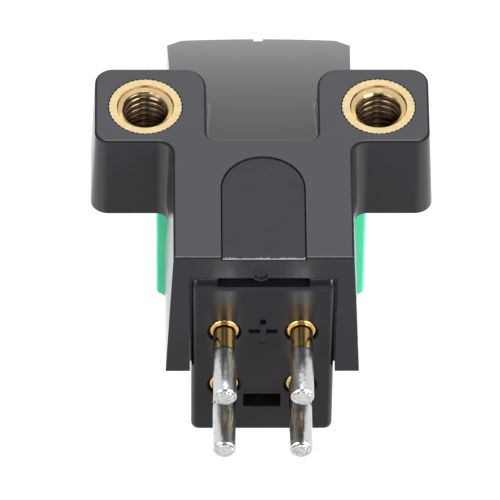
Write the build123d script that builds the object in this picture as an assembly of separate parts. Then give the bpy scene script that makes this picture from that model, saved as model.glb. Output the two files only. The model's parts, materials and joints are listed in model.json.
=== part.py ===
"""Moving-magnet turntable cartridge with a pull-off stylus unit.

Frame: X to the right as seen from the terminal pins, Y forward to the stylus, Z up.
The origin is the middle between the two mounting holes, on the top face.
All lengths are millimetres and all angles degrees.
"""
import os
from math import cos, pi, radians, sin, tan

from build123d import *

# Mounting ears and inserts
MOUNT_SPACING = 12.7
EAR_MARGIN = 2.75
EAR_GAP = 6.1
EAR_FORE = 2.77
EAR_AFT = 2.53
EAR_HEIGHT = 5.65
EAR_REAR_RADIUS = 0.70
EAR_FRONT_RADIUS = 1.00
EAR_INNER_RADIUS = 1.25
EAR_ROOT_RADIUS = 0.90
GAP_ROOT_RADIUS = 0.60
GAP_FOOT_RADIUS = 0.22
THREAD_DIAMETER = 2.6
INSERT_DIAMETER = 4.0
INSERT_LENGTH = 4.3
INSERT_SINK = 0.01
INSERT_MOUTH = 3.12
MOUTH_FLOOR = 3.00
MOUTH_STEP = 0.13
LEAD_DEPTH = 0.13
KNURL_TEETH = 44
KNURL_DEPTH = 0.05
INSERT_FIT = 0.04
SCREW_CLEARANCE = 0.30

# Body shell
DRAFT = 2.6
STEM_WIDTH = 9.71
REAR_REACH = 10.91
FRONT_REACH = 12.7
SIDE_HEIGHT = 8.94
TOP_EDGE_RADIUS = 0.12
HOOD_AFT = 2.41
HOOD_STEP = 0.12
HOOD_DROP = 8.46
HOOD_CROWN = 0.53
HOOD_WALL = 0.95
HOOD_TAPER = 0.28
FRONT_WALL = 1.0
FACE_HEIGHT = 1.95
FACE_BOW = 0.35
CORNER_WIDTH = 0.87
CORNER_LENGTH = 1.14
CORNER_INSET = 4.33
RIM_HEIGHT = 1.59
RIM_WALL = 1.1
CUE_WIDTH = 0.52
CUE_DEPTH = 0.46
GATE_DIAMETER = 0.92
GATE_DISH_DIAMETER = 0.72
GATE_DEPTH = 0.12
GATE_DROP = 1.40
GATE_LEFT = 0.15
RAIL_WIDTH = 0.78
RAIL_DROP = 1.6
RAIL_FRONT = 4.4

# Name plate
PLATE_WIDTH = 4.44
PLATE_TOP_GAP = 1.30
PLATE_THICK = 0.18
PLATE_SINK = 0.08
PLATE_GAP = 0.08
PLATE_BEVEL = 0.09

# Terminal block
BLOCK_WIDTH = 7.72
BLOCK_REACH = 11.15
BLOCK_GAP = 0.16
BLOCK_FOOT_GAP = 0.07
BLOCK_BOTTOM = 14.19
BLOCK_TOP_GAP = 0.06
BLOCK_FRONT = 2.6
BLOCK_WALL = 0.75
BLOCK_BACK_WALL = 1.0
BLOCK_CORNER_RADIUS = 0.45
BLOCK_EDGE_RADIUS = 0.30
SHOULDER_RADIUS = 0.85
BLOCK_STEP_Y = 3.3
BLOCK_STEP_Z = 13.05
BLOCK_STEP_FLOOR = 0.40
RIB_INSET = 0.30
RIB_LENGTH = 3.0
RIB_BOTTOM = 8.64
RIB_FIT = 0.005
NOTCH_WIDTH = 4.98
NOTCH_DEPTH = 0.55
SLOT_WIDTH = 2.04
SLOT_HEIGHT = 1.08
SLOT_DROP = 11.59
MARK_WIDTH = 1.54
MARK_HEIGHT = 1.97
MARK_STROKE = 0.34
MARK_DEPTH = 0.25
MARK_DROP = 5.81

# Terminal pins
PIN_SPACING_X = 4.16
PIN_SPACING_Z = 4.43
PIN_TOP_DROP = 5.85
PIN_DIAMETER = 1.25
PIN_LENGTH = 4.73
PIN_CHAMFER = 0.15
PIN_TAIL_DIAMETER = 0.80
PIN_TAIL_LENGTH = 0.80
PIN_FIT = 0.02
COLLAR_DIAMETER = 1.66
COLLAR_HEIGHT = 0.28
COLLAR_RADIUS = 0.20
PIN_SEAT_DIAMETER = 1.88
PIN_SEAT_DEPTH = 0.30

# Stylus line: the plug, the cantilever and the pull-off slide all lie along it
STYLUS_ANGLE = 24.0
STYLUS_REACH = 9.5
STYLUS_DROP = 17.2
CANTILEVER_REACH = 8.0
CANTILEVER_END = 0.30
CANTILEVER_DIAMETER = 0.55
CANTILEVER_BORE = 0.40
CANTILEVER_START = 0.50
SHANK_DIAMETER = 0.25
SHANK_ABOVE = 0.36
SHANK_BELOW = 0.42
SHANK_FIT = 0.01
TIP_HEIGHT = 0.20
TIP_DIAMETER = 0.03

# Suspension, as distances from the pivot
PLUG_WIDTH = 2.4
PLUG_BORE = 2.0
PLUG_CORNER_RADIUS = 0.2
PLUG_BACK = 4.6
PLUG_FRONT = 2.2
PLUG_FIT = 0.05
SLEEVE_FIT = 0.02
SLEEVE_START = 0.40
SLEEVE_LENGTH = 2.8
SLEEVE_RADIUS = 0.2
WIRE_DIAMETER = 0.14
WIRE_FIT = 0.02
WIRE_BACK = 2.9
WIRE_FRONT = 0.75
DAMPER_DIAMETER = 1.7
DAMPER_HOLE = 0.40
DAMPER_BACK = 0.35
DAMPER_FRONT = 0.25
CARRIER_DIAMETER = 1.0
CARRIER_FLANGE = 1.4
CARRIER_FLANGE_THICK = 0.2
CARRIER_START = 0.30
CARRIER_LENGTH = 1.1
CARRIER_HOLE = 0.30
MAGNET_DIAMETER = 0.5
MAGNET_INNER = 0.32
MAGNET_OUTER = 0.86
MAGNET_AT = 0.92
MAGNET_FIT = 0.005

# Stylus holder
HOLDER_REAR = 2.6
HOLDER_GAP = 0.08
HOLDER_WIDTH = 11.47
CHEEK_WALL = 0.72
PART_DROP = 5.8
HOLDER_REAR_BOTTOM = 13.95
HOLDER_KEEL_Y = 4.6
HOLDER_KEEL_Z = 15.85
HOLDER_NOSE_GAP = 0.25
HOLDER_NOSE_HEIGHT = 1.15
HOLDER_FLOOR = 0.52
HOLDER_SKIN = 0.75
HULL_DROP = 1.40
HULL_INSET = 1.9
BULKHEAD_START = 1.45
BULKHEAD_THICK = 1.15
TUNNEL_WIDTH = 2.2
TUNNEL_BELOW = 0.8
TUNNEL_ABOVE = 0.9
CHEEK_EDGE_RADIUS = 0.15

# Coils, poles and socket, as distances from the stylus line and the pivot
POLE_THICK = 0.55
POLE_WIDTH = 0.70
POLE_GAP = 0.13
POLE_LOWER = -0.65
POLE_UPPER = 2.0
POLE_FRONT = 1.25
POLE_HOOK_LENGTH = 0.8
POLE_HOOK_END = 0.35
YOKE_THICK = 0.8
POLE_FIT = 0.03
COIL_START = 6.45
COIL_LENGTH = 3.5
BOBBIN_WALL = 0.2
BOBBIN_FLANGE = 0.3
COIL_WIDTH = 2.6
COIL_HEIGHT = 2.5
WINDING_SINK = 0.06
WINDING_RADIUS = 0.5
FRAME_START = 5.6
FRAME_THICK = 0.8
FRAME_TOP = 3.3
FRAME_BOTTOM = -2.7
NOSE_FRONT = 0.2
NOSE_TOP_WALL = 0.30
NOSE_SIDE_WALL = 0.47
NOSE_BOTTOM = -1.1
SHIELD_THICK = 0.24
SHIELD_TOP = 5.4
SHIELD_FRONT = 4.6
SHIELD_FIT = 0.02

# Far enough to clear the whole part in a cut
FAR = 40.0

# Derived places
MIDDLE = (Align.CENTER, Align.CENTER, Align.MIN)
FLARE = tan(radians(DRAFT))
HOLE_X = MOUNT_SPACING / 2
EAR_SPAN = MOUNT_SPACING + 2 * EAR_MARGIN
PART_SLOPE = (HOOD_DROP + FACE_HEIGHT - PART_DROP) / (FRONT_REACH + HOLDER_REAR)
FORWARD = Vector(0, cos(radians(STYLUS_ANGLE)), -sin(radians(STYLUS_ANGLE)))
RISE = Vector(0, sin(radians(STYLUS_ANGLE)), cos(radians(STYLUS_ANGLE)))
STYLUS_SEAT = Vector(0, STYLUS_REACH, TIP_HEIGHT + SHANK_BELOW - STYLUS_DROP)
PIVOT = STYLUS_SEAT - FORWARD * CANTILEVER_REACH
SIDE = Plane(origin=PIVOT, x_dir=FORWARD, z_dir=(1, 0, 0))
ALONG = Plane(origin=PIVOT, x_dir=(1, 0, 0), z_dir=FORWARD * -1)
POLE_X = PLUG_WIDTH / 2 + POLE_GAP
POLE_MIDDLE_X = POLE_X + POLE_THICK / 2
SIDES = {"left": -1, "right": 1}
LEVELS = {"upper": POLE_UPPER, "lower": POLE_LOWER}
PIN_LEVELS = {"upper": -PIN_TOP_DROP, "lower": -PIN_TOP_DROP - PIN_SPACING_Z}


def slab(points, start, end, plane=Plane.YZ):
    """An outline on a plane, drawn out along its normal from one offset to the other."""
    outline = make_face(Polyline(*points, close=True))
    return extrude(plane.offset(start) * outline, amount=end - start, dir=plane.z_dir)


def box(low, high):
    """A box between two corners."""
    size = [top - bottom for bottom, top in zip(low, high)]
    centre = [(top + bottom) / 2 for bottom, top in zip(low, high)]
    return Pos(*centre) * Box(*size)


def near(shapes, *points):
    """The corners or edges that lie closest to the given places."""
    return [min(shapes, key=lambda shape: (shape.center() - Vector(*point)).length) for point in points]


def wedge(top, low):
    """Everything between two slanted sides, given their half-widths at the top face and at the stylus tip."""
    return slab([(-top, 0), (top, 0), (low, -STYLUS_DROP), (-low, -STYLUS_DROP)], -FAR, FAR, Plane.XZ)


def side_walls():
    """Everything between the body's side walls, which draw in a little toward the front from the ears on."""
    top = STEM_WIDTH / 2
    walls = wedge(top, top + STYLUS_DROP * FLARE)
    ears = Pos(0, -EAR_AFT, 0)
    front = ears * box((-FAR, 0, -FAR), (FAR, FAR, FAR))
    rear = walls - front
    for turn in (-HOOD_TAPER, HOOD_TAPER):
        front &= ears * Rot(0, 0, turn) * walls
    return rear + front


def part_line(y):
    """Height of the parting line between body and stylus holder."""
    return -PART_DROP - PART_SLOPE * (y + HOLDER_REAR)


def hood_arc(depth):
    """The hood's side view as an arc, set in by a depth square to its chord."""
    start = Vector(-HOOD_AFT, -HOOD_STEP)
    end = Vector(FRONT_REACH, -HOOD_DROP)
    chord = end - start
    outward = Vector(-chord.Y, chord.X).normalized()
    middle = (start + end) * 0.5 + outward * HOOD_CROWN
    inset = outward * depth
    return ThreePointArc(start - inset, middle - inset, end - inset)


def plan_limit(inset):
    """The front of the part in plan: bowed face and two cut corners."""
    front = FRONT_REACH - inset
    corner = front - FACE_BOW
    wide = EAR_SPAN
    back = corner - (wide - CORNER_INSET) * CORNER_LENGTH / CORNER_WIDTH
    rim = Polyline((-CORNER_INSET, corner), (-wide, back), (-wide, -FAR), (wide, -FAR), (wide, back),
                   (CORNER_INSET, corner))
    bow = ThreePointArc((CORNER_INSET, corner), (0, front), (-CORNER_INSET, corner))
    outline = make_face(rim + bow)
    return extrude(Plane.XY.offset(-FAR) * outline, amount=2 * FAR, dir=(0, 0, 1))


def top_plate():
    """Stem and ears in plan, with draft and a rounded top edge."""
    stem = STEM_WIDTH / 2
    ear = EAR_SPAN / 2
    gap = EAR_GAP / 2
    half = [(stem, -REAR_REACH), (stem, -EAR_AFT), (ear, -EAR_AFT), (ear, EAR_FORE), (gap, EAR_FORE),
            (gap, -HOOD_AFT)]
    other = [(-x, y) for x, y in reversed(half)]
    outline = make_face(Polyline(*half, *other, close=True))
    corners = [(EAR_ROOT_RADIUS, (stem, -EAR_AFT)), (EAR_REAR_RADIUS, (ear, -EAR_AFT)),
               (EAR_FRONT_RADIUS, (ear, EAR_FORE)), (EAR_INNER_RADIUS, (gap, EAR_FORE)),
               (GAP_ROOT_RADIUS, (gap, -HOOD_AFT))]
    for radius, (x, y) in corners:
        outline = fillet(near(outline.vertices(), (x, y), (-x, y)), radius)
    plate = extrude(outline, amount=-EAR_HEIGHT, taper=-DRAFT)
    return fillet(plate.faces().sort_by(Axis.Z)[-1].edges(), TOP_EDGE_RADIUS)


def body_core():
    """Stem, hood and side walls down to the parting line, as a solid wedge."""
    rear = -REAR_REACH
    front_bottom = -HOOD_DROP - FACE_HEIGHT
    arc = hood_arc(0)
    rest = Polyline(arc @ 1, (FRONT_REACH, front_bottom), (-HOLDER_REAR, part_line(-HOLDER_REAR)),
                    (-HOLDER_REAR, -SIDE_HEIGHT), (rear - SIDE_HEIGHT * FLARE, -SIDE_HEIGHT),
                    (rear - HOOD_STEP * FLARE, -HOOD_STEP), arc @ 0)
    profile = extrude(Plane.YZ * make_face(arc + rest), amount=EAR_SPAN, both=True)
    return profile & side_walls() & plan_limit(0)


def guide_rail(side):
    """Rib below the parting line that the holder's cheek slides on."""
    outer = HOLDER_WIDTH / 2 - CHEEK_WALL - PLUG_FIT
    back = -HOLDER_REAR
    points = [(back, part_line(back) + RAIL_WIDTH), (RAIL_FRONT, part_line(RAIL_FRONT) + RAIL_WIDTH),
              (RAIL_FRONT, part_line(RAIL_FRONT) - RAIL_DROP), (back, part_line(back) - RAIL_DROP)]
    rail = slab(points, outer - RAIL_WIDTH, outer)
    return rail if side > 0 else mirror(rail, about=Plane.YZ)


def cavity_sides(inset):
    """The space between the body's side walls, closer at the foot and set in by a clearance."""
    top = BLOCK_WIDTH / 2 + BLOCK_GAP - inset
    lean = (BLOCK_GAP - BLOCK_FOOT_GAP) / SIDE_HEIGHT
    return wedge(top, top - STYLUS_DROP * lean)


def body_cavity():
    """Room for the terminal block and coils, open to the rear and below."""
    arc = hood_arc(HOOD_WALL)
    start = arc @ 0
    end = arc @ 1
    inner = -REAR_REACH + RIM_WALL
    outside = -REAR_REACH - RIM_WALL
    rest = Polyline(end, (end.X, -FAR), (outside, -FAR), (outside, -RIM_HEIGHT), (inner, -RIM_HEIGHT),
                    (inner, start.Y), start)
    room = extrude(Plane.YZ * make_face(arc + rest), amount=EAR_SPAN, both=True) & cavity_sides(0)
    return room & box((-EAR_SPAN, -FAR, -FAR), (EAR_SPAN, FRONT_REACH - FRONT_WALL, FAR))


def insert_pocket():
    """Stepped hole for a thread insert with a screw passage below it."""
    seat = Cylinder(INSERT_DIAMETER / 2 + INSERT_FIT, INSERT_LENGTH + INSERT_SINK, align=MIDDLE)
    passage = Cylinder(THREAD_DIAMETER / 2 + SCREW_CLEARANCE, EAR_HEIGHT + INSERT_SINK, align=MIDDLE)
    return Rot(180, 0, 0) * (seat + passage)


def arch(width, length, thick):
    """The name plate's outline: a straight strip with a round front end."""
    radius = width / 2
    strip = Pos(0, -radius - (length - radius) / 2) * Rectangle(width, length - radius)
    outline = strip + Pos(0, -radius) * Circle(radius)
    return extrude(outline, amount=-thick, dir=(0, 0, 1))


def body_shell():
    """Top plate, ears, hood and side walls in one moulding."""
    shell = top_plate() + body_core()
    foot = -HOOD_DROP * HOOD_AFT / (HOOD_AFT + FRONT_REACH)
    feet = near(shell.edges(), (-EAR_GAP / 2, 0, foot), (EAR_GAP / 2, 0, foot))
    shell = fillet(feet, GAP_FOOT_RADIUS) + guide_rail(-1) + guide_rail(1)
    shell -= body_cavity()
    for side in SIDES.values():
        shell -= Pos(side * HOLE_X, 0, 0) * insert_pocket()
    recess = arch(PLATE_WIDTH + 2 * PLATE_GAP, FAR, PLATE_SINK + PLATE_THICK)
    shell -= Pos(0, -HOOD_AFT - PLATE_TOP_GAP + PLATE_GAP, 0) * recess
    shell -= box((-CUE_WIDTH / 2, FRONT_REACH - CUE_DEPTH, -FAR), (CUE_WIDTH / 2, FAR, 0))
    face = (-GATE_LEFT, -REAR_REACH - GATE_DROP * FLARE, -GATE_DROP)
    gate = Plane(origin=face, x_dir=(1, 0, 0), z_dir=(0, -1, 0))
    shell += gate.offset(-RIM_WALL / 2) * Cylinder(GATE_DIAMETER / 2, RIM_WALL / 2, align=MIDDLE)
    return shell - gate.offset(-GATE_DEPTH) * Cylinder(GATE_DISH_DIAMETER / 2, RIM_WALL, align=MIDDLE)


def name_plate():
    """Plain arched plate with a bevelled rear edge."""
    plate = arch(PLATE_WIDTH, REAR_REACH - HOOD_AFT - PLATE_TOP_GAP, PLATE_THICK)
    rear_edge = plate.faces().sort_by(Axis.Z)[-1].edges().sort_by(Axis.Y)[0]
    plate = chamfer(rear_edge, PLATE_BEVEL)
    return Pos(0, -HOOD_AFT - PLATE_TOP_GAP, -PLATE_SINK) * plate


def thread_insert():
    """Straight-knurled insert with a stepped mouth; the bore is the thread's outer diameter."""
    tip = INSERT_DIAMETER / 2
    points = []
    for step in range(2 * KNURL_TEETH):
        radius = tip - KNURL_DEPTH * (step % 2)
        angle = pi * step / KNURL_TEETH
        points.append((radius * cos(angle), radius * sin(angle)))
    blank = slab(points, -INSERT_LENGTH, 0, Plane.XY)
    bore = Pos(0, 0, -INSERT_LENGTH) * Cylinder(THREAD_DIAMETER / 2, INSERT_LENGTH, align=MIDDLE)
    mouth = Pos(0, 0, -MOUTH_STEP) * Cone(MOUTH_FLOOR / 2, INSERT_MOUTH / 2, MOUTH_STEP, align=MIDDLE)
    lead = Cone(THREAD_DIAMETER / 2, MOUTH_FLOOR / 2, LEAD_DEPTH, align=MIDDLE)
    lead = Pos(0, 0, -MOUTH_STEP - LEAD_DEPTH) * lead
    return Pos(0, 0, -INSERT_SINK) * (blank - bore - mouth - lead)


def pin_place(x, z):
    """A plane on the block's rear face that looks out along a pin."""
    return Plane(origin=(x, -BLOCK_REACH, z), x_dir=(1, 0, 0), z_dir=(0, -1, 0))


def terminal_pin(x, z):
    """Round pin with a domed collar in its seat and a solder tail inside the block."""
    seat = -PIN_SEAT_DEPTH
    shaft = Pos(0, 0, seat) * Cylinder(PIN_DIAMETER / 2, PIN_LENGTH - seat, align=MIDDLE)
    shaft = chamfer(shaft.edges().sort_by(Axis.Z)[-1], PIN_CHAMFER)
    collar = Cylinder(COLLAR_DIAMETER / 2, COLLAR_HEIGHT, align=MIDDLE)
    collar = Pos(0, 0, seat) * fillet(collar.edges().sort_by(Axis.Z)[-1], COLLAR_RADIUS)
    inner = BLOCK_BACK_WALL + PIN_TAIL_LENGTH
    tail = Pos(0, 0, -inner) * Cylinder(PIN_TAIL_DIAMETER / 2, inner + seat, align=MIDDLE)
    return pin_place(x, z) * (shaft + collar + tail)


def block_shell():
    """The rear box: back wall, floor and two side walls, open above and in front."""
    half = BLOCK_WIDTH / 2
    rear = -BLOCK_REACH
    top = -RIM_HEIGHT - BLOCK_TOP_GAP
    outline = [(rear, top), (-BLOCK_FRONT, top), (-BLOCK_FRONT, -BLOCK_STEP_Z),
               (-BLOCK_STEP_Y, -BLOCK_STEP_Z), (-BLOCK_STEP_Y, -BLOCK_BOTTOM), (rear, -BLOCK_BOTTOM)]
    block = slab(outline, -half, half)
    floor_edges = block.edges().filter_by(Axis.Y).filter_by_position(Axis.Z, -FAR, -BLOCK_STEP_Z)
    block = fillet(floor_edges, BLOCK_CORNER_RADIUS)
    shoulder = near(block.edges(), (0, rear, top))
    block = fillet(shoulder, SHOULDER_RADIUS)
    foot = near(block.edges(), (0, rear, -BLOCK_BOTTOM))
    block = fillet(foot, BLOCK_EDGE_RADIUS)
    inside = half - BLOCK_WALL
    deep_end = -BLOCK_STEP_Y - BLOCK_WALL
    block -= box((-inside, rear + BLOCK_BACK_WALL, -BLOCK_BOTTOM + BLOCK_WALL), (inside, deep_end, FAR))
    block -= box((-inside, rear + BLOCK_BACK_WALL, -BLOCK_STEP_Z + BLOCK_STEP_FLOOR), (inside, FAR, FAR))
    return block - box((-NOTCH_WIDTH / 2, -FAR, top - NOTCH_DEPTH), (NOTCH_WIDTH / 2, FAR, FAR))


def block_ribs():
    """Ribs on the block's sides that fill the gap to the body a little way in from the rear."""
    rear = -BLOCK_REACH + RIB_INSET
    inner = (BLOCK_WIDTH - BLOCK_WALL) / 2
    strip = box((-EAR_SPAN, rear, -RIB_BOTTOM), (EAR_SPAN, rear + RIB_LENGTH, -RIM_HEIGHT - BLOCK_TOP_GAP))
    return strip & cavity_sides(RIB_FIT) - box((-inner, -FAR, -FAR), (inner, FAR, FAR))


def plug_socket():
    """Slanted frame for the poles and the channel that takes the stylus plug."""
    half = BLOCK_WIDTH / 2
    pole_room = POLE_X + POLE_THICK + PLUG_FIT
    outer = pole_room + NOSE_SIDE_WALL
    roof = PLUG_WIDTH / 2 + PLUG_FIT
    frame = slab([(-half, FRAME_BOTTOM), (half, FRAME_BOTTOM), (half, FRAME_TOP), (-half, FRAME_TOP)],
                 FRAME_START, FRAME_START + FRAME_THICK, ALONG)
    channel = [(-outer, NOSE_BOTTOM), (-pole_room, NOSE_BOTTOM), (-pole_room, roof), (pole_room, roof),
               (pole_room, NOSE_BOTTOM), (outer, NOSE_BOTTOM), (outer, roof + NOSE_TOP_WALL),
               (-outer, roof + NOSE_TOP_WALL)]
    return frame + slab(channel, NOSE_FRONT, FRAME_START + FRAME_THICK / 2, ALONG)


def terminal_block():
    """Rear block with pin seats, slot and cross mark, joined to the coil frame and plug socket."""
    limit = box((-FAR, -FAR, -BLOCK_BOTTOM + BLOCK_WALL / 2), (FAR, FAR, FAR))
    block = block_shell() + block_ribs() + (plug_socket() & limit)
    for side in SIDES.values():
        for level in LEVELS.values():
            low = level - POLE_WIDTH / 2 - POLE_FIT
            high = level + POLE_WIDTH / 2 + POLE_FIT
            near_x = side * (POLE_X - POLE_FIT)
            far_x = side * (POLE_X + POLE_THICK + POLE_FIT)
            window = [(near_x, low), (far_x, low), (far_x, high), (near_x, high)]
            block -= slab(window, FRAME_START - FRAME_THICK, FRAME_START + 2 * FRAME_THICK, ALONG)
    for x in (-PIN_SPACING_X / 2, PIN_SPACING_X / 2):
        for z in PIN_LEVELS.values():
            seat = pin_place(x, z).offset(-PIN_SEAT_DEPTH)
            block -= seat * Cylinder(PIN_SEAT_DIAMETER / 2, FAR, align=MIDDLE)
            through = seat.offset(-BLOCK_BACK_WALL)
            block -= through * Cylinder(PIN_TAIL_DIAMETER / 2 + PIN_FIT, FAR, align=MIDDLE)
    slot_low = -SLOT_DROP - SLOT_HEIGHT / 2
    block -= box((-SLOT_WIDTH / 2, -FAR, slot_low),
                 (SLOT_WIDTH / 2, -BLOCK_REACH + 2 * BLOCK_BACK_WALL, slot_low + SLOT_HEIGHT))
    face = -BLOCK_REACH + MARK_DEPTH
    for width, height in ((MARK_WIDTH, MARK_STROKE), (MARK_STROKE, MARK_HEIGHT)):
        block -= box((-width / 2, -FAR, -MARK_DROP - height / 2), (width / 2, face, -MARK_DROP + height / 2))
    return block


def pole(level, side):
    """Laminated pole piece; the upper one hooks down beside the magnet."""
    low = level - POLE_WIDTH / 2
    high = level + POLE_WIDTH / 2
    back = -COIL_START - COIL_LENGTH - YOKE_THICK
    points = [(back, low), (POLE_FRONT, low), (POLE_FRONT, high), (back, high)]
    if level > 0:
        root = POLE_FRONT - POLE_HOOK_LENGTH
        points[1:2] = [(root, low), (root, POLE_HOOK_END), (POLE_FRONT, POLE_HOOK_END)]
    start = POLE_X if side > 0 else -POLE_X - POLE_THICK
    return slab(points, start, start + POLE_THICK, SIDE)


def yoke(side):
    """Bar that joins the upper and lower pole behind the coils."""
    back = -COIL_START - COIL_LENGTH - YOKE_THICK
    low = POLE_LOWER + POLE_WIDTH / 2
    high = POLE_UPPER - POLE_WIDTH / 2
    start = POLE_X if side > 0 else -POLE_X - POLE_THICK
    return slab([(back, low), (back + YOKE_THICK, low), (back + YOKE_THICK, high), (back, high)],
                start, start + POLE_THICK, SIDE)


def coil_place(level, side):
    """A plane square to the stylus line at a coil's front end."""
    origin = PIVOT + RISE * level - FORWARD * COIL_START + Vector(side * POLE_MIDDLE_X, 0, 0)
    return Plane(origin=origin, x_dir=(1, 0, 0), z_dir=FORWARD * -1)


def bobbin(level, side):
    """Coil former: tube with two flanges around a pole."""
    wide = POLE_THICK + 2 * POLE_FIT
    tall = POLE_WIDTH + 2 * POLE_FIT
    flange = Box(COIL_WIDTH, COIL_HEIGHT, BOBBIN_FLANGE, align=MIDDLE)
    tube = Box(wide + 2 * BOBBIN_WALL, tall + 2 * BOBBIN_WALL, COIL_LENGTH, align=MIDDLE)
    former = flange + tube + Pos(0, 0, COIL_LENGTH - BOBBIN_FLANGE) * flange
    return coil_place(level, side) * (former - Box(wide, tall, FAR))


def winding(level, side):
    """Copper winding between a bobbin's flanges."""
    wide = POLE_THICK + 2 * POLE_FIT + 2 * BOBBIN_WALL
    tall = POLE_WIDTH + 2 * POLE_FIT + 2 * BOBBIN_WALL
    length = COIL_LENGTH - 2 * BOBBIN_FLANGE
    outline = RectangleRounded(COIL_WIDTH - 2 * WINDING_SINK, COIL_HEIGHT - 2 * WINDING_SINK, WINDING_RADIUS)
    coil = extrude(outline - Rectangle(wide, tall), amount=length)
    return coil_place(level, side) * Pos(0, 0, BOBBIN_FLANGE) * coil


def shield_plate():
    """Sheet between the left and right coils, standing on the block's floor behind the frame."""
    back = -BLOCK_REACH + BLOCK_BACK_WALL + SHIELD_FIT
    floor = -BLOCK_BOTTOM + BLOCK_WALL + SHIELD_FIT
    sheet = box((-SHIELD_THICK / 2, back, floor), (SHIELD_THICK / 2, -SHIELD_FRONT, -SHIELD_TOP))
    frame_side = FRAME_START + FRAME_THICK + SHIELD_FIT
    behind = slab([(-FAR, -FAR), (FAR, -FAR), (FAR, FAR), (-FAR, FAR)], frame_side, FAR, ALONG)
    return sheet & behind


def bilge_cut(start, end, half, sign):
    """The piece taken off along a lower edge of the hull to slant it."""
    run = (Vector(0, *end) - Vector(0, *start)).normalized()
    square = Plane(origin=(sign * half, *start), x_dir=(sign, 0, 0), z_dir=run * -sign)
    far_in = -HULL_INSET * FAR
    far_out = HULL_INSET * FAR
    slope = HULL_DROP / HULL_INSET
    points = [(far_in, HULL_DROP + slope * far_in), (far_out, HULL_DROP + slope * far_in),
              (far_out, HULL_DROP + slope * far_out)]
    return slab(points, -FAR, FAR, square)


def holder_hull(side_inset, rise, rear, headroom):
    """The holder's boat-like outside, or a hollow set in from its sides and bottom."""
    slope = (HOLDER_KEEL_Z - HOLDER_REAR_BOTTOM) / (HOLDER_KEEL_Y + HOLDER_REAR)
    front = FRONT_REACH - HOLDER_NOSE_GAP
    keel = (HOLDER_KEEL_Y, rise - HOLDER_KEEL_Z)
    stern = (rear, keel[1] + slope * (HOLDER_KEEL_Y - rear))
    nose = (front, part_line(front) - HOLDER_NOSE_HEIGHT + rise)
    points = [(rear, part_line(rear) + headroom), (front, part_line(front) + headroom), nose, keel, stern]
    half = HOLDER_WIDTH / 2 - side_inset
    hull = slab(points, -half, half)
    for sign in SIDES.values():
        hull -= bilge_cut(stern, keel, half, sign)
        hull -= bilge_cut(keel, nose, half, sign)
    return hull


def stylus_holder():
    """Green holder: cheeks, floor, bulkhead for the plug and a hollow nose."""
    rear = -HOLDER_REAR + HOLDER_GAP
    hull = holder_hull(0, 0, rear, -PLUG_FIT) & plan_limit(HOLDER_NOSE_GAP)
    hull = fillet(hull.edges().filter_by(Axis.Z).group_by(Axis.Y)[0], CHEEK_EDGE_RADIUS)
    inside = holder_hull(CHEEK_WALL, HOLDER_FLOOR, rear - HOLDER_REAR, FAR)
    behind = slab([(-FAR, -FAR), (FAR, -FAR), (FAR, FAR), (-FAR, FAR)], -BULKHEAD_START, FAR, ALONG)
    before = slab([(-FAR, -FAR), (FAR, -FAR), (FAR, FAR), (-FAR, FAR)], -FAR,
                  -BULKHEAD_START - BULKHEAD_THICK, ALONG)
    nose = holder_hull(HOLDER_SKIN, HOLDER_SKIN, rear, FAR) & plan_limit(HOLDER_NOSE_GAP + HOLDER_SKIN)
    holder = hull - (inside & behind) - (nose & before)
    seat = PLUG_WIDTH / 2
    holder -= slab([(-seat, -seat), (seat, -seat), (seat, seat), (-seat, seat)], -PLUG_FRONT, 0, ALONG)
    half = TUNNEL_WIDTH / 2
    tunnel = [(-half, -TUNNEL_BELOW), (half, -TUNNEL_BELOW), (half, TUNNEL_ABOVE), (-half, TUNNEL_ABOVE)]
    return holder - slab(tunnel, -CANTILEVER_REACH, -BULKHEAD_START, ALONG)


def axial(radius, start, end):
    """A cylinder on the stylus line between two distances ahead of the pivot."""
    return ALONG.offset(-end) * Cylinder(radius, end - start, align=MIDDLE)


def plug_tube():
    """Square tube with a round bore that holds the suspension."""
    outline = RectangleRounded(PLUG_WIDTH, PLUG_WIDTH, PLUG_CORNER_RADIUS) - Circle(PLUG_BORE / 2)
    return ALONG.offset(-PLUG_FRONT) * extrude(outline, amount=PLUG_FRONT + PLUG_BACK)


def support_sleeve():
    """Crimped sleeve behind the damper."""
    radius = PLUG_BORE / 2 - SLEEVE_FIT
    sleeve = axial(radius, -SLEEVE_START - SLEEVE_LENGTH, -SLEEVE_START)
    sleeve = fillet(sleeve.edges(), SLEEVE_RADIUS)
    return sleeve - axial(WIRE_DIAMETER / 2 + WIRE_FIT, -FAR, FAR)


def magnet(side, radius, start, end):
    """A round bar at 45 degrees up and out from the stylus line."""
    origin = PIVOT + FORWARD * MAGNET_AT
    outward = RISE + Vector(side, 0, 0)
    return Plane(origin=origin, z_dir=outward).offset(start) * Cylinder(radius, end - start, align=MIDDLE)


def magnet_carrier():
    """Collar on the cantilever with seats for both magnets and a flange against the damper."""
    collar = axial(CARRIER_DIAMETER / 2, CARRIER_START, CARRIER_START + CARRIER_LENGTH)
    collar += axial(CARRIER_FLANGE / 2, CARRIER_START, CARRIER_START + CARRIER_FLANGE_THICK)
    collar -= axial(CARRIER_HOLE / 2, 0, FAR)
    collar -= axial(CANTILEVER_DIAMETER / 2, CANTILEVER_START, FAR)
    for side in SIDES.values():
        collar -= magnet(side, MAGNET_DIAMETER / 2 + MAGNET_FIT, MAGNET_INNER - MAGNET_FIT, FAR)
    return collar


def upright(radius, low, high):
    """A vertical cylinder through the stylus seat."""
    return Pos(STYLUS_SEAT + Vector(0, 0, low)) * Cylinder(radius, high - low, align=MIDDLE)


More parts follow.
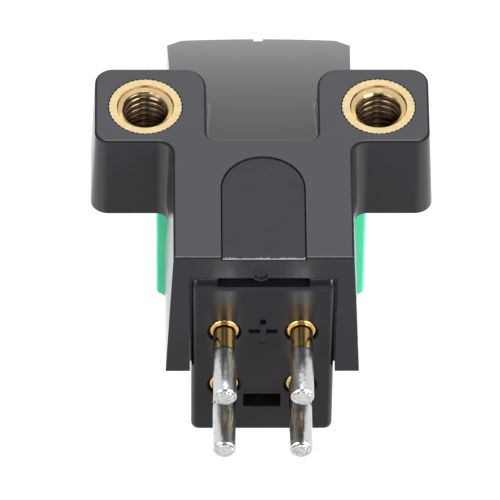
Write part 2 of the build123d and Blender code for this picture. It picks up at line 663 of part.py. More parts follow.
def cantilever():
    """Thin tube from the magnet carrier to the stylus."""
    end = CANTILEVER_REACH + CANTILEVER_END
    tube = axial(CANTILEVER_DIAMETER / 2, CANTILEVER_START, end)
    tube -= axial(CANTILEVER_BORE / 2, 0, FAR)
    return tube - upright(SHANK_DIAMETER / 2 + SHANK_FIT, -CANTILEVER_DIAMETER, CANTILEVER_DIAMETER)


def diamond_tip():
    """Conical stylus under its shank."""
    cone = Cone(TIP_DIAMETER / 2, SHANK_DIAMETER / 2, TIP_HEIGHT, align=MIDDLE)
    return Pos(0, STYLUS_REACH, -STYLUS_DROP) * cone


def all_parts():
    """Every solid of the cartridge under its own name."""
    parts = {"body_shell": body_shell(), "name_plate": name_plate(), "terminal_block": terminal_block(),
             "shield_plate": shield_plate(), "stylus_holder": stylus_holder(), "plug_tube": plug_tube(),
             "support_sleeve": support_sleeve(), "magnet_carrier": magnet_carrier(),
             "cantilever": cantilever(), "diamond_tip": diamond_tip()}
    parts["suspension_wire"] = axial(WIRE_DIAMETER / 2, -WIRE_BACK, WIRE_FRONT)
    parts["damper"] = (axial(DAMPER_DIAMETER / 2, -DAMPER_BACK, DAMPER_FRONT)
                       - axial(DAMPER_HOLE / 2, -FAR, FAR))
    parts["stylus_shank"] = upright(SHANK_DIAMETER / 2, -SHANK_BELOW, SHANK_ABOVE)
    insert = thread_insert()
    for name, side in SIDES.items():
        parts[f"insert_{name}"] = Pos(side * HOLE_X, 0, 0) * insert
        parts[f"yoke_{name}"] = yoke(side)
        parts[f"magnet_{name}"] = magnet(side, MAGNET_DIAMETER / 2, MAGNET_INNER, MAGNET_OUTER)
        for level, height in LEVELS.items():
            parts[f"pole_{level}_{name}"] = pole(height, side)
            parts[f"bobbin_{level}_{name}"] = bobbin(height, side)
            parts[f"winding_{level}_{name}"] = winding(height, side)
            parts[f"pin_{level}_{name}"] = terminal_pin(side * PIN_SPACING_X / 2, PIN_LEVELS[level])
    return parts


os.makedirs("parts", exist_ok=True)
for node, shape in all_parts().items():
    export_step(shape, f"parts/{node}.step")
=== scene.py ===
"""Looks of the turntable cartridge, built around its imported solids."""
import json
import math

import bmesh
import bpy
from mathutils import Matrix, Vector


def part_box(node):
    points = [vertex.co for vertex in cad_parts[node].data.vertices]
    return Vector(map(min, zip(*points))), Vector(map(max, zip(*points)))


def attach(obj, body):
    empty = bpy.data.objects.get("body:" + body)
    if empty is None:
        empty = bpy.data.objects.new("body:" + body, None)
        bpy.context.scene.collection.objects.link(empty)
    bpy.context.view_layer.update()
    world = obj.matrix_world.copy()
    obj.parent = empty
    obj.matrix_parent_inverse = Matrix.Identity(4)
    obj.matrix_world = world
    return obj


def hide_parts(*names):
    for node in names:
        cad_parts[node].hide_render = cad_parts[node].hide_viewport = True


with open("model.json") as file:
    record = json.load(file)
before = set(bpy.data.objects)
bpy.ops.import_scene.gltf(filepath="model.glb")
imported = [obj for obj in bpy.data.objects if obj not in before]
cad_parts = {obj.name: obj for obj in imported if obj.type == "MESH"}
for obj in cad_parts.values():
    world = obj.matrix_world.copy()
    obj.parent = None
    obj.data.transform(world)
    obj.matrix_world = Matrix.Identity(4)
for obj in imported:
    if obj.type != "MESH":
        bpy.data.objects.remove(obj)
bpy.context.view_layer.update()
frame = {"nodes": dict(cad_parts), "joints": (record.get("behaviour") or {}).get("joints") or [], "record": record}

nodes = frame["nodes"]
joints = {joint["name"]: joint for joint in frame["joints"]}
mounts = {mount["name"]: mount for mount in frame["record"]["mounts"]}
MM = 0.001

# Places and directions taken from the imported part
plate_low, plate_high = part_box("name_plate")
PIN_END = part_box("pin_upper_left")[0].y
BLOCK_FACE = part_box("terminal_block")[0].y
INSERT_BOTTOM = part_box("insert_left")[0].z
FORWARD = Vector(joints["stylus_pull"]["axis"])
RISE = Vector(joints["cantilever_swing"]["axis"])
PIVOT = Vector(joints["cantilever_lift"]["pos_m"])
HOLE_X = mounts["headshell_bolts"]["dims"]["spacing_x_mm"] / 2 * MM
HOLE_RADIUS = mounts["headshell_bolts"]["dims"]["hole_r_mm"] * MM

# Camera, fitted to the photograph
CAMERA_DISTANCE = 450 * MM
CAMERA_AZIMUTH = -1.30
CAMERA_ELEVATION = 48.6
CAMERA_ROLL = 0.95
CAMERA_LENS = 587.8
CAMERA_SENSOR = 36
CAMERA_CLIP = (0.01, 20)
AIM = Vector((0, 0, -7 * MM))
AIM_RIGHT = -0.583 * MM
AIM_UP = -3.234 * MM

# Light levels of the surround and the floor: for diffuse rays, then for what the camera and gloss see
WORLD_LEVELS = (0.55, 1.0)
FLOOR_LEVELS = (0.0, 0.53)

# Floor, with the darkest and the palest tone of its paper and the place of its painted shadow, a dimmer patch
FLOOR_TONES = (0.36, 0.45)
FLOOR_Z = -0.12
FLOOR_RADIUS = 0.20
FLOOR_CORNERS = 96
SHADOW_PLACE = (0.0, -0.11, 0.0)
SHADOW_INNER = 0.02
SHADOW_OUTER = 0.09
STAGE_ROUGHNESS = 0.9

# Place, size, power and colour of each lamp
WHITE = (1.0, 1.0, 1.0)
LAMPS = {
    "key": ((0.0, 0.45, 0.50), 0.60, 1.40, (0.90, 0.94, 1.0)),
    "fill_left": ((-0.50, -0.45, 0.35), 0.45, 3.0, WHITE),
    "fill_right": ((0.50, -0.45, 0.35), 0.45, 6.2, WHITE),
    "edge": ((0.0, -0.45, 0.60), 0.20, 0.4, WHITE),
}

# Dark card behind the camera, which shades the reflections
FLAG_PLACE = (0.0, -0.70, 0.37)
FLAG_WIDTH = 0.46
FLAG_HEIGHT = 0.80
FLAG_TONE = 0.05

# Thread in the inserts; a start is the share of a turn by which a thread is turned
THREAD_MINOR = 1.07 * MM
THREAD_PITCH = 0.45 * MM
THREAD_TOP = -0.28 * MM
THREAD_BOTTOM = INSERT_BOTTOM + 0.01 * MM
THREAD_WALL = 0.05 * MM
THREAD_FLANK = 2.8
THREAD_ROOT = 0.2
THREAD_ROWS = 12
THREAD_START_LEFT = 0.61
THREAD_START_RIGHT = 0.98
BORE_LIP = -0.27 * MM
ROUND_STEPS = 64
SMOOTH_ANGLE = math.radians(50)

# Rubber ring at the cantilever's pivot: its outline in millimetres along the stylus line and out from it
DAMPER_OUTLINE = ((-0.33, 0.20), (-0.33, 0.70), (-0.30, 0.78), (-0.22, 0.83), (-0.05, 0.85), (0.12, 0.83),
                  (0.20, 0.78), (0.23, 0.70), (0.23, 0.20))

# Raised floor in the upright of the block's cross mark: its width, its spans in Y and Z, its round edge
MARK_WIDTH = 0.34 * MM
MARK_DEPTHS = (BLOCK_FACE + 0.02 * MM, BLOCK_FACE + 0.25 * MM)
MARK_HEIGHTS = (-6.795 * MM, -5.316 * MM)
MARK_ROUND = 0.03 * MM
MARK_ROUND_STEPS = 3

# Bounds between which the body's surface changes; a facing is a share of the surface's direction
HOOD_SMOOTH = (-3.0 * MM, 4.0 * MM)
HOOD_SMOOTHER = 0.08
TOP_EDGE = (-0.14 * MM, -0.12 * MM)
# Facing at which a dark line is painted as shade along the top edges; edges turned fully rearward are painted dark
# too
EDGE_FACING = (0.05, 0.20)
# Facings at which a pale line is painted as a highlight along the rear top edges
HIGHLIGHT_FROM = (0.12, 0.22)
HIGHLIGHT_TO = (0.55, 0.68)
WALL_FACING = (0.97, 0.99)
WALL_OUTER = (4.2 * MM, 4.3 * MM)
WALL_SMOOTH = (-7.5 * MM, -5.5 * MM)
WALL_SMOOTHER = 0.17
WALL_DUSTY = (-6.1 * MM, -5.9 * MM)
WALL_SLANT_Y = 0.75
WALL_SLANT_Z = 0.66
# The plate's recess, painted dark as shade and made dull
RECESS_X = (plate_low.x - 0.11 * MM, plate_high.x + 0.11 * MM)
RECESS_Y = (plate_low.y + 0.01 * MM, plate_high.y + 0.11 * MM)
RECESS_Z = (-0.40 * MM, -0.02 * MM)
MASK_BORDER = 0.005 * MM
SKIN_GRAIN = 0.3

# The plate's bevelled rear edge, where a pale ragged band is painted as a highlight
PLATE_HIGHLIGHT_EDGE = (plate_low.y + 0.04 * MM, plate_low.y + 0.08 * MM)
PLATE_HIGHLIGHT_DEPTH = (-0.175 * MM, -0.160 * MM)
PLATE_HIGHLIGHT_RAGGED = 0.06 * MM
RAGGED_RANGE = (0.25, 0.75)

# Tin over the outer end of the pins, with a ragged border, and the cut tip
TIN_EDGE = (PIN_END + 3.09 * MM, PIN_END + 3.19 * MM)
TIN_RAGGED = 0.10 * MM
TIN_ROUGHER = 0.10
TIN_RELIEF = 0.09 * MM
PIN_TIP = (PIN_END + 0.03 * MM, PIN_END + 0.08 * MM)
PIN_TIP_RELIEF = 0.40 * MM
PIN_PITS = (0.28, 0.36)
PIN_FLARE = 0.07

# Depths and radii at which the brass of the inserts turns bright, where shade is painted deeper in the mouth, and
# where darker shade is painted in the thread's grooves and down the hole
MOUTH_BRIGHT = (-0.04 * MM, -0.02 * MM)
MOUTH_ROUGHNESS = 0.20
MOUTH_SHADE = (-0.33 * MM, -0.26 * MM)
THREAD_SHADE_DEPTH = (-2.00 * MM, -0.50 * MM)
SHADE_RAGGED = 0.06 * MM
THREAD_GROOVE = (1.09 * MM, 1.14 * MM)
GROOVE_SHADE = 0.96
CREST_START = (-0.42 * MM, -0.30 * MM)
TOOL_MARK_PITCH = 0.06 * MM

# Fine marks: the noise values that span a finish's whole range, the drawing direction, the coils' wire
NOISE_RANGE = (0.3, 0.7)
ALONG_STYLUS = (1, 0.1, 0.1)
WIRE_PITCH = 0.08 * MM

# Colours and grey tones, in pairs from dark to light
BLACK_TINT = (1.0, 1.01, 1.45)
BODY_TONES = (0.0085, 0.0125)
BLOCK_TONES = (0.0065, 0.0095)
PLATE_TONES = (0.012, 0.016)
TIN_TONES = (0.52, 0.80)
# Tone of the highlight painted along the body's rear top edges
PAINTED_HIGHLIGHT_TONE = 0.10
# Near-black tone painted as shade along the body's top edges and in the plate's recess
PAINTED_SHADE_TONE = 0.001
# Tone of the highlight painted along the plate's rear edge
PLATE_HIGHLIGHT_TONE = 0.26
PIT_TONE = 0.12
BRASS = ((0.41, 0.315, 0.165, 1), (0.56, 0.435, 0.24, 1))
BRASS_MOUTH = (0.66, 0.48, 0.24, 1)
# Browns painted as shade deeper in the mouth, then darker in the thread's grooves and down the hole
BRASS_SHADE = (0.27, 0.205, 0.12, 1)
BRASS_DEEP_SHADE = (0.030, 0.016, 0.008, 1)
SLEEVE_BRASS = ((0.58, 0.40, 0.16, 1), (0.72, 0.52, 0.24, 1))
GOLD = ((0.62, 0.40, 0.12, 1), (0.78, 0.54, 0.20, 1))
COPPER = ((0.42, 0.13, 0.05, 1), (0.60, 0.22, 0.09, 1))
GREEN = ((0.064, 0.74, 0.385, 1), (0.072, 0.78, 0.41, 1))
NYLON = ((0.62, 0.58, 0.46, 1), (0.70, 0.66, 0.54, 1))
DIAMOND = ((0.93, 0.93, 0.90, 1), (0.99, 0.99, 0.98, 1))


def make_camera():
    """Puts the camera where the photograph was taken from."""
    azimuth = math.radians(CAMERA_AZIMUTH)
    elevation = math.radians(CAMERA_ELEVATION)
    roll = math.radians(CAMERA_ROLL)
    back = Vector((math.sin(azimuth) * math.cos(elevation), -math.cos(azimuth) * math.cos(elevation),
                   math.sin(elevation)))
    right = Vector((math.cos(azimuth), math.sin(azimuth), 0))
    up = back.cross(right)
    turned_right = right * math.cos(roll) + up * math.sin(roll)
    turned_up = up * math.cos(roll) - right * math.sin(roll)
    place = AIM + back * CAMERA_DISTANCE
    toward = place - (AIM + turned_right * AIM_RIGHT + turned_up * AIM_UP)
    toward.normalize()
    side = turned_up.cross(toward).normalized()
    camera = bpy.data.objects.new("camera", bpy.data.cameras.new("camera"))
    bpy.context.collection.objects.link(camera)
    camera.data.lens = CAMERA_LENS
    camera.data.sensor_width = CAMERA_SENSOR
    camera.data.clip_start, camera.data.clip_end = CAMERA_CLIP
    turn = Matrix((side, toward.cross(side), toward)).transposed()
    camera.matrix_world = Matrix.Translation(place) @ turn.to_4x4()
    bpy.context.scene.camera = camera


make_camera()


class Shader:
    """A node material with a few short ways to make its texture nodes."""

    def __init__(self, name):
        self.material = bpy.data.materials.new(name)
        self.material.use_nodes = True
        self.tree = self.material.node_tree
        self.surface = self.tree.nodes["Principled BSDF"]
        self.place = self.node("ShaderNodeTexCoord").outputs["Object"]

    def node(self, kind, **values):
        """Adds a node and sets its own properties and input sockets."""
        made = self.tree.nodes.new(kind)
        for key, value in values.items():
            if key in made.inputs:
                self.put(made.inputs[key], value)
            else:
                setattr(made, key, value)
        return made

    def put(self, socket, value):
        """Links an output to a socket, or sets a constant on it."""
        if isinstance(value, bpy.types.NodeSocket):
            self.tree.links.new(value, socket)
        else:
            socket.default_value = value

    def set(self, **values):
        """Sets sockets of the surface shader; spaces in their names are written as underscores."""
        for key, value in values.items():
            self.put(self.surface.inputs[key.replace("_", " ")], value)

    def linked(self, name):
        """The output that is linked to a socket of the surface shader."""
        return self.surface.inputs[name].links[0].from_socket

    def noise(self, scale, detail=3.0, stretch=(1, 1, 1)):
        """Noise in object space, with its scale per metre and a stretch per axis."""
        place = self.node("ShaderNodeMapping", Vector=self.place, Scale=stretch).outputs[0]
        return self.node("ShaderNodeTexNoise", Vector=place, Scale=scale, Detail=detail).outputs[0]

    def span(self, value, low, high, start=0.0, end=1.0, kind="LINEAR"):
        """Maps a value from start..end to low..high."""
        made = self.node("ShaderNodeMapRange", Value=value, interpolation_type=kind)
        made.inputs["From Min"].default_value = start
        made.inputs["From Max"].default_value = end
        made.inputs["To Min"].default_value = low
        made.inputs["To Max"].default_value = high
        return made.outputs[0]

    def rises(self, value, bounds):
        """Goes from zero to one between two bounds."""
        return self.span(value, 0.0, 1.0, *bounds)

    def falls(self, value, bounds):
        """Goes from one to zero between two bounds."""
        return self.span(value, 1.0, 0.0, *bounds)

    def uneven(self, noise, middle, spread):
        """A value that strays from its middle with a noise."""
        return self.span(noise, middle - spread, middle + spread, *NOISE_RANGE)

    def mix(self, factor, first, second):
        """Blends two colours."""
        made = self.node("ShaderNodeMix", data_type="RGBA")
        self.put(made.inputs["Factor"], factor)
        self.put(made.inputs[6], first)
        self.put(made.inputs[7], second)
        return made.outputs[2]

    def math(self, operation, first, second=0.0):
        """One arithmetic step."""
        made = self.node("ShaderNodeMath", operation=operation)
        self.put(made.inputs[0], first)
        self.put(made.inputs[1], second)
        return made.outputs[0]

    def both(self, first, *others):
        """Masks multiplied with each other."""
        for other in others:
            first = self.math("MULTIPLY", first, other)
        return first

    def axis(self, name):
        """One coordinate in object space, in metres."""
        return self.node("ShaderNodeSeparateXYZ", Vector=self.place).outputs[name]

    def facing(self, name):
        """One part of the surface's direction in object space."""
        direction = self.node("ShaderNodeTexCoord").outputs["Normal"]
        return self.node("ShaderNodeSeparateXYZ", Vector=direction).outputs[name]

    def along(self, share_y, share_z):
        """Distance along a line that leans between Y and Z."""
        return self.math("ADD", self.math("MULTIPLY", self.axis("Y"), share_y),
                         self.math("MULTIPLY", self.axis("Z"), share_z))

    def ragged(self, name, noise, stray, bounds=(0.0, 1.0)):
        """One coordinate that strays with a noise, so that a border across it is ragged."""
        return self.math("ADD", self.axis(name), self.span(noise, -stray, stray, *bounds))

    def within(self, name, low, high):
        """One where a coordinate lies between two bounds, zero elsewhere."""
        half = (high - low) / 2
        away = self.math("ABSOLUTE", self.math("SUBTRACT", self.axis(name), low + half))
        return self.falls(away, (half, half + MASK_BORDER))

    def bump(self, *layers):
        """Stacks bump layers, each a height, a strength and a depth in metres."""
        normal = None
        for height, strength, depth in layers:
            made = self.node("ShaderNodeBump", Height=height, Strength=strength, Distance=depth)
            if normal is not None:
                self.put(made.inputs["Normal"], normal)
            normal = made.outputs[0]
        self.put(self.surface.inputs["Normal"], normal)


def grey(value, tint=WHITE):
    """A neutral colour with a slight tint."""
    return (value * tint[0], value * tint[1], value * tint[2], 1)


def greys(dark, light, tint=WHITE):
    """A dark and a light grey."""
    return grey(dark, tint), grey(light, tint)


def moulded(name, tones, rough, spread, grain, depth, specular=0.5):
    """Moulded plastic: slightly cloudy tone, uneven sheen and a fine skin grain."""
    made = Shader(name)
    made.set(Base_Color=made.mix(made.noise(600, 4), *tones), Specular_IOR_Level=specular)
    made.set(Roughness=made.uneven(made.noise(1500, 5), rough, spread))
    made.bump((made.noise(grain, 2), SKIN_GRAIN, depth))
    return made


def body_material():
    """Satin body with a smoother hood and low walls, dusty walls, a pale line painted as a highlight along the
    rear top edges, a dark line painted as shade along the top edges, and a dull recess painted dark as shade.
    """
    made = moulded("body_plastic", greys(*BODY_TONES, BLACK_TINT), rough=0.23, spread=0.02,
                   grain=16000, depth=0.0010 * MM)
    sideways = made.math("ABSOLUTE", made.facing("X"))
    outside = made.rises(made.math("ABSOLUTE", made.axis("X")), WALL_OUTER)
    wall = made.both(made.rises(sideways, WALL_FACING), outside)
    low_wall = made.both(wall, made.falls(made.axis("Z"), WALL_SMOOTH))
    dusty = made.both(wall, made.falls(made.along(WALL_SLANT_Y, WALL_SLANT_Z), WALL_DUSTY))

    rearward = made.math("MULTIPLY", made.facing("Y"), -1.0)
    top = made.rises(made.axis("Z"), TOP_EDGE)
    # A pale line painted as a highlight on the top edges that lean rearward
    turned = made.rises(rearward, HIGHLIGHT_TO)
    painted_highlight = made.both(top, made.rises(rearward, HIGHLIGHT_FROM), made.math("SUBTRACT", 1.0, turned))
    # Painted shade: a dark line along the top edges that face sideways or turn rearward, and the dark recess; both
    # are also made fully rough
    edge = made.both(top, made.math("MAXIMUM", made.rises(sideways, EDGE_FACING), turned))
    recess = made.both(made.within("X", *RECESS_X), made.within("Y", *RECESS_Y),
                       made.within("Z", *RECESS_Z))
    dull = made.math("MAXIMUM", recess, edge)

    smoother = made.math("MAXIMUM", made.span(made.axis("Y"), 0.0, HOOD_SMOOTHER, *HOOD_SMOOTH),
                         made.span(low_wall, 0.0, WALL_SMOOTHER))
    satin = made.math("SUBTRACT", made.linked("Roughness"), smoother)
    made.set(Roughness=made.math("MAXIMUM", satin, dull), Sheen_Weight=dusty, Sheen_Roughness=0.2)
    grain = made.linked("Normal").node
    made.put(grain.inputs["Strength"], made.span(low_wall, SKIN_GRAIN, 0.0))
    # The skin takes the painted highlight, then the near-black painted shade
    skin = made.mix(painted_highlight, made.linked("Base Color"), grey(PAINTED_HIGHLIGHT_TONE))
    made.set(Base_Color=made.mix(dull, skin, grey(PAINTED_SHADE_TONE)))
    return made.material


def plate_material():
    """Matt plate with a pale ragged band painted as a highlight along its bevelled rear edge."""
    made = moulded("plate_plastic", greys(*PLATE_TONES, BLACK_TINT), rough=0.45, spread=0.04,
                   grain=20000, depth=0.0015 * MM, specular=0.3)
    edge = made.ragged("Y", made.noise(9000, 5), PLATE_HIGHLIGHT_RAGGED, RAGGED_RANGE)
    # Pale band painted as a highlight on the bevel, with a ragged border
    pale_highlight = made.both(made.falls(edge, PLATE_HIGHLIGHT_EDGE), made.rises(made.axis("Z"), PLATE_HIGHLIGHT_DEPTH))
    below = made.falls(made.axis("Z"), PLATE_HIGHLIGHT_DEPTH)
    made.set(Base_Color=made.mix(pale_highlight, made.linked("Base Color"), grey(PLATE_HIGHLIGHT_TONE)))
    made.set(Roughness=made.math("MAXIMUM", made.linked("Roughness"), below))
    return made.material


def brass_material(name, rough):
    """Turned brass with tool marks around each mounting hole, a bright mouth, and painted shade deeper in the
    mouth, in the thread's grooves and down the hole.
    """
    made = Shader(name)
    across = made.math("SUBTRACT", made.math("ABSOLUTE", made.axis("X")), HOLE_X)
    radius = made.math("SQRT", made.math("ADD", made.math("MULTIPLY", across, across),
                                         made.math("MULTIPLY", made.axis("Y"), made.axis("Y"))))
    rings = made.math("SINE", made.math("MULTIPLY", radius, 2 * math.pi / TOOL_MARK_PITCH))
    depth = made.ragged("Z", made.noise(2500, 4), SHADE_RAGGED)
    mouth = made.falls(made.axis("Z"), MOUTH_BRIGHT)
    clean = made.mix(mouth, made.mix(made.noise(2600, 5), *BRASS), BRASS_MOUTH)
    # Painted shade: browner deeper in the mouth, near black in the thread's grooves and further down the hole
    clean = made.mix(made.falls(depth, MOUTH_SHADE), clean, BRASS_SHADE)
    groove = made.both(made.span(radius, 0.0, GROOVE_SHADE, *THREAD_GROOVE), made.falls(depth, CREST_START))
    deep_shade = made.math("MAXIMUM", groove, made.falls(depth, THREAD_SHADE_DEPTH))
    made.set(Base_Color=made.mix(deep_shade, clean, BRASS_DEEP_SHADE), Metallic=1.0)
    dull = made.uneven(made.noise(3000, 4), rough, 0.05)
    made.set(Roughness=made.math("SUBTRACT", dull, made.span(mouth, 0.0, rough - MOUTH_ROUGHNESS)))
    made.bump((rings, 0.2, 0.002 * MM), (made.noise(5000, 3), 0.15, 0.002 * MM))
    return made.material


def pin_material():
    """Gold plate at the root of a pin and bright tin over its outer end."""
    made = Shader("plated_pin")
    tinned = made.falls(made.ragged("Y", made.noise(1600, 3), TIN_RAGGED), TIN_EDGE)
    streak = made.noise(900, 4, (1, 0.15, 1))
    plating = made.mix(tinned, made.mix(streak, *GOLD), made.mix(streak, *greys(*TIN_TONES)))
    pits = made.falls(made.noise(5200, 4), PIN_PITS)
    made.set(Base_Color=made.mix(pits, plating, grey(PIT_TONE)), Metallic=1.0)
    drawn = made.uneven(made.noise(2500, 4, (1, 0.2, 1)), 0.12, 0.06)
    made.set(Roughness=made.math("ADD", drawn, made.span(tinned, 0.0, TIN_ROUGHER)))
    dipped = made.both(made.noise(1700, 3, (1, 0.4, 1)), tinned)
    cut = made.both(made.noise(1900, 2), made.falls(made.axis("Y"), PIN_TIP))
    flare = made.math("MAXIMUM", made.axis("Y"), TIN_EDGE[0])
    made.bump((dipped, 0.6, TIN_RELIEF), (cut, 1.0, PIN_TIP_RELIEF), (flare, 1.0, PIN_FLARE))
    return made.material


def drawn_metal(name, tones, rough, stretch):
    """Metal with fine marks drawn out along one direction."""
    made = Shader(name)
    marks = made.noise(2500, 4, stretch)
    made.set(Base_Color=made.mix(marks, *tones), Metallic=1.0)
    made.set(Roughness=made.uneven(marks, rough, 0.08))
    made.bump((marks, 0.2, 0.003 * MM))
    return made.material


def winding_material():
    """Enamelled copper wire laid in fine turns along the stylus line."""
    made = Shader("copper_winding")
    along = made.along(FORWARD.y, FORWARD.z)
    turns = made.math("SINE", made.math("MULTIPLY", along, 2 * math.pi / WIRE_PITCH))
    cloud = made.noise(1200, 4)
    made.set(Base_Color=made.mix(cloud, *COPPER), Metallic=0.85)
    made.set(Roughness=made.span(cloud, 0.25, 0.42), Coat_Weight=0.5, Coat_Roughness=0.2)
    made.bump((turns, 0.5, 0.02 * MM))
    return made.material


def diamond_material():
    """Clear polished diamond."""
    made = Shader("diamond")
    made.set(Base_Color=made.mix(made.noise(4000, 2), *DIAMOND))
    made.set(Transmission_Weight=0.9, IOR=2.4)
    made.set(Roughness=made.span(made.noise(6000, 2), 0.02, 0.08))
    return made.material


body_plastic = body_material()
block_plastic = moulded("block_plastic", greys(*BLOCK_TONES, BLACK_TINT), rough=0.25, spread=0.02,
                        grain=9000, depth=0.0006 * MM, specular=0.34).material
green_plastic = moulded("green_plastic", GREEN, rough=0.30, spread=0.02,
                        grain=12000, depth=0.0006 * MM).material
bobbin_plastic = moulded("bobbin_plastic", NYLON, rough=0.45, spread=0.05,
                         grain=9000, depth=0.002 * MM).material
rubber = moulded("rubber", greys(0.018, 0.028), rough=0.75, spread=0.08,
                 grain=14000, depth=0.004 * MM, specular=0.3).material
plate_plastic = plate_material()
brass = brass_material("turned_brass", rough=0.40)
thread_brass = brass_material("thread_brass", rough=0.25)
pin_metal = pin_material()
aluminium = drawn_metal("drawn_aluminium", greys(0.62, 0.80), rough=0.28, stretch=ALONG_STYLUS)
core_steel = drawn_metal("core_steel", greys(0.34, 0.48), rough=0.40, stretch=(8, 1, 1))
sheet_metal = drawn_metal("rolled_sheet", greys(0.46, 0.58), rough=0.30, stretch=(1, 0.1, 1))
wire_steel = drawn_metal("wire_steel", greys(0.48, 0.62), rough=0.25, stretch=ALONG_STYLUS)
magnet_metal = drawn_metal("magnet_metal", greys(0.07, 0.13), rough=0.50, stretch=(1, 1, 1))
sleeve_brass = drawn_metal("sleeve_brass", SLEEVE_BRASS, rough=0.30, stretch=ALONG_STYLUS)
copper = winding_material()
diamond = diamond_material()

LOOKS = {
    "body_shell": body_plastic, "name_plate": plate_plastic, "terminal_block": block_plastic,
    "stylus_holder": green_plastic, "insert": brass, "pin": pin_metal, "pole": core_steel,
    "yoke": core_steel, "bobbin": bobbin_plastic, "winding": copper, "shield_plate": sheet_metal,
    "plug_tube": aluminium, "support_sleeve": sleeve_brass, "suspension_wire": wire_steel,
    "damper": rubber, "magnet": magnet_metal, "magnet_carrier": aluminium, "cantilever": aluminium,
    "stylus_shank": wire_steel, "diamond_tip": diamond,
}


def look_of(name):
    """The material for a node, found by its whole name or by its first word."""
    return LOOKS.get(name) or LOOKS[name.split("_")[0]]


for name, node in nodes.items():
    node.data.materials.clear()
    node.data.materials.append(look_of(name))


def add_object(name, build, material):
    """Makes an object from built faces."""
    mesh = bpy.data.meshes.new(name)
    build.to_mesh(mesh)
    build.free()
    made = bpy.data.objects.new(name, mesh)
    bpy.context.collection.objects.link(made)
    made.data.materials.append(material)
    return made


def add_piece(name, build, material, body):
    """Makes a smooth piece from built faces and lets it ride on a body."""
    bmesh.ops.recalc_face_normals(build, faces=build.faces)
    made = add_object(name, build, material)
    for face in made.data.polygons:
        face.use_smooth = True
    made.data.set_sharp_from_angle(angle=SMOOTH_ANGLE)
    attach(made, body)
    return made


def ring_of_points(build, x, z, radii):
    """A ring of points around an upright line, one for each radius."""
    ring = []
    for step, radius in enumerate(radii):
        angle = 2 * math.pi * step / len(radii)
        ring.append(build.verts.new((x + radius * math.cos(angle), radius * math.sin(angle), z)))
    return ring


def thread_radius(z, turn, fade):
    """Radius of a thread's bore at a height and a share of a turn; the fade flattens its ridge."""
    phase = (z / THREAD_PITCH + turn) % 1.0
    height = max(0.0, min(1.0, (0.5 - abs(phase - 0.5)) * THREAD_FLANK - THREAD_ROOT)) * fade
    radius = HOLE_RADIUS - (HOLE_RADIUS - THREAD_MINOR) * height
    return max(radius, HOLE_RADIUS - max(0.0, BORE_LIP - z))


def thread(name, x, start):
    """The helical thread inside an insert, as one closed sleeve with a ridged bore."""
    rows = int((THREAD_TOP - THREAD_BOTTOM) / THREAD_PITCH * THREAD_ROWS)
    build = bmesh.new()
    bore = []
    for row in range(rows + 1):
        z = THREAD_TOP + (THREAD_BOTTOM - THREAD_TOP) * row / rows
        fade = min(1.0, (rows - row) / THREAD_ROWS)
        radii = [thread_radius(z, step / ROUND_STEPS - start, fade) for step in range(ROUND_STEPS)]
        bore.append(ring_of_points(build, x, z, radii))
    outer = [HOLE_RADIUS + THREAD_WALL] * ROUND_STEPS
    upper_end, lower_end = [ring_of_points(build, x, z, outer) for z in (THREAD_TOP, THREAD_BOTTOM)]
    loops = [upper_end] + bore + [lower_end, upper_end]
    for upper, lower in zip(loops, loops[1:]):
        for step in range(ROUND_STEPS):
            build.faces.new((upper[step - 1], upper[step], lower[step], lower[step - 1]))
    add_piece(name, build, thread_brass, "cartridge")


thread("thread_left", -HOLE_X, THREAD_START_LEFT)
thread("thread_right", HOLE_X, THREAD_START_RIGHT)


def damper_ring():
    """Rubber ring at the pivot, whose rounded edges leave room for the cantilever's motion."""
    build = bmesh.new()
    outlines = []
    for step in range(ROUND_STEPS):
        angle = 2 * math.pi * step / ROUND_STEPS
        outward = Vector((math.cos(angle), 0, 0)) + RISE * math.sin(angle)
        outlines.append([build.verts.new(PIVOT + (FORWARD * along + outward * radius) * MM)
                         for along, radius in DAMPER_OUTLINE])
    for here, there in zip(outlines, outlines[1:] + outlines[:1]):
        for index in range(len(DAMPER_OUTLINE)):
            build.faces.new((here[index - 1], there[index - 1], there[index], here[index]))
    ring = add_piece("damper_ring", build, rubber, "damper_pivot")
    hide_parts("damper")


damper_ring()


def mark_floor():
    """Raised floor of the cross mark's upright, which leaves its upper end deep."""
    build = bmesh.new()
    bmesh.ops.create_cube(build, size=1.0)
    rear_edges = [edge for edge in build.edges if all(corner.co.y < 0 for corner in edge.verts)]
    spans = ((-MARK_WIDTH / 2, MARK_WIDTH / 2), MARK_DEPTHS, MARK_HEIGHTS)
    for corner in build.verts:
        corner.co = [low if side < 0 else high for side, (low, high) in zip(corner.co, spans)]
    bmesh.ops.bevel(build, geom=rear_edges, offset=MARK_ROUND, segments=MARK_ROUND_STEPS, profile=0.5,
                    affect="EDGES")
    add_piece("mark_floor", build, block_plastic, "cartridge")


mark_floor()


def background(tree, levels):
    """One level for what the camera sees directly, in gloss or through glass, and another for the rest."""
    path = tree.nodes.new("ShaderNodeLightPath")
    seen = path.outputs["Is Camera Ray"]
    for name in ("Is Glossy Ray", "Is Transmission Ray"):
        either = tree.nodes.new("ShaderNodeMath")
        either.operation = "MAXIMUM"
        tree.links.new(seen, either.inputs[0])
        tree.links.new(path.outputs[name], either.inputs[1])
        seen = either.outputs[0]
    level = tree.nodes.new("ShaderNodeMapRange")
    level.inputs["To Min"].default_value, level.inputs["To Max"].default_value = levels
    tree.links.new(seen, level.inputs["Value"])
    return level


def make_surround():
    """White surround, dimmer for the light that it casts."""
    world = bpy.data.worlds.new("surround")
    bpy.context.scene.world = world
    world.use_nodes = True
    shade = world.node_tree.nodes["Background"]
    shade.inputs["Color"].default_value = (*WHITE, 1)
    level = background(world.node_tree, WORLD_LEVELS)
    world.node_tree.links.new(level.outputs[0], shade.inputs["Strength"])


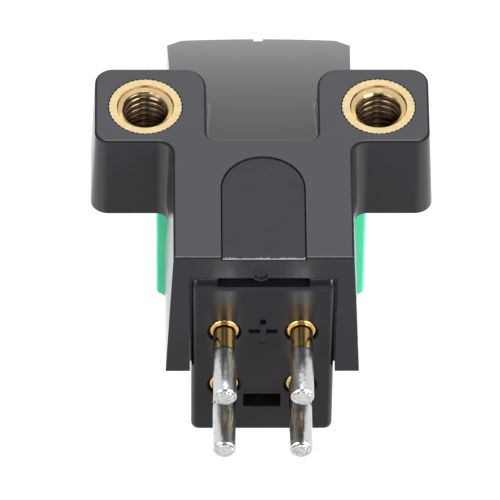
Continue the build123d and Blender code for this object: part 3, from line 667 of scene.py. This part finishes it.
def painted_shadow(paper, low, high):
    """A painted shadow: a dimmer round patch on the floor behind the part, which fades out evenly."""
    away = paper.node("ShaderNodeVectorMath", operation="DISTANCE")
    paper.put(away.inputs[0], paper.place)
    paper.put(away.inputs[1], SHADOW_PLACE)
    return paper.span(away.outputs["Value"], low, high, SHADOW_INNER, SHADOW_OUTER, "SMOOTHSTEP")


def make_floor():
    """Pale paper floor below the part."""
    paper = Shader("floor_paper")
    level = background(paper.tree, FLOOR_LEVELS)
    # The painted shadow dims both the level that the camera sees and the paper's tone
    paper.put(level.inputs["To Max"], painted_shadow(paper, *FLOOR_LEVELS))
    paper.set(Base_Color=painted_shadow(paper, *FLOOR_TONES), Roughness=STAGE_ROUGHNESS)
    paper.set(Emission_Color=(*WHITE, 1), Emission_Strength=level.outputs[0])
    build = bmesh.new()
    bmesh.ops.create_circle(build, cap_ends=True, segments=FLOOR_CORNERS, radius=FLOOR_RADIUS)
    floor = add_object("floor", build, paper.material)
    floor.location = (0, 0, FLOOR_Z)


def turn_to_part(made, place):
    """Puts a lamp or card at a place, turned to the part and out of the camera's sight."""
    made.location = place
    made.rotation_mode = "QUATERNION"
    made.rotation_quaternion = (AIM - Vector(place)).to_track_quat("-Z", "Y")
    made.visible_camera = False


def make_flag():
    """Dark card behind the camera."""
    cloth = Shader("flag_cloth")
    cloth.set(Base_Color=grey(FLAG_TONE), Roughness=STAGE_ROUGHNESS)
    build = bmesh.new()
    bmesh.ops.create_grid(build, x_segments=1, y_segments=1, size=0.5)
    bmesh.ops.scale(build, vec=(FLAG_WIDTH, FLAG_HEIGHT, 1), verts=build.verts)
    flag = add_object("flag", build, cloth.material)
    turn_to_part(flag, FLAG_PLACE)


def make_lamps():
    """Soft square lamps around the part."""
    for name, (place, size, power, colour) in LAMPS.items():
        lamp = bpy.data.lights.new(name, "AREA")
        lamp.size = size
        lamp.energy = power
        lamp.color = colour
        holder = bpy.data.objects.new(name, lamp)
        bpy.context.collection.objects.link(holder)
        turn_to_part(holder, place)


make_surround()
make_floor()
make_flag()
make_lamps()
bpy.context.scene.view_settings.view_transform = "Standard"
